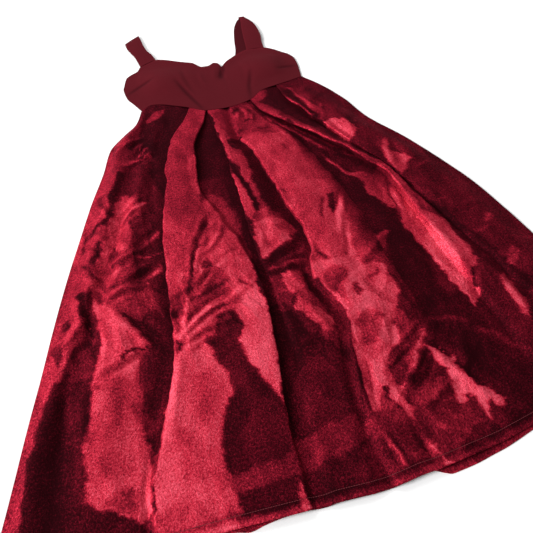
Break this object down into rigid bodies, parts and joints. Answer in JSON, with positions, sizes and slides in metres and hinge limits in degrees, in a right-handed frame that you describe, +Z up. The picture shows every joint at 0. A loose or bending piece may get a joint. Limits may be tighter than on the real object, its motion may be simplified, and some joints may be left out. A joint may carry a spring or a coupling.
{
  "type": "evening dress",
  "caption": "Sleeveless evening dress laid flat: crepe bodice with darts and wide straps, full pleated crushed-velvet skirt, front over back.",
  "frame": {"origin": "on the surface the dress lies on, under the middle of its outline", "axes": "+Z up from the surface, +Y from the hem towards the neck, +X towards the viewer's right as the front is looked at from the hem side"},
  "size_m": [0.9822, 1.2069, 0.0176],
  "materials": {
    "velvet": "crushed velvet, shiny nap, wine red",
    "crepe": "matte stretch crepe, burgundy"
  },
  "bodies": {
    "root": {"skirt_front": "velvet", "skirt_back": "velvet", "bodice_front": "crepe", "bodice_back": "crepe", "strap_left": "crepe", "strap_right": "crepe"}
  },
  "joints": []
}
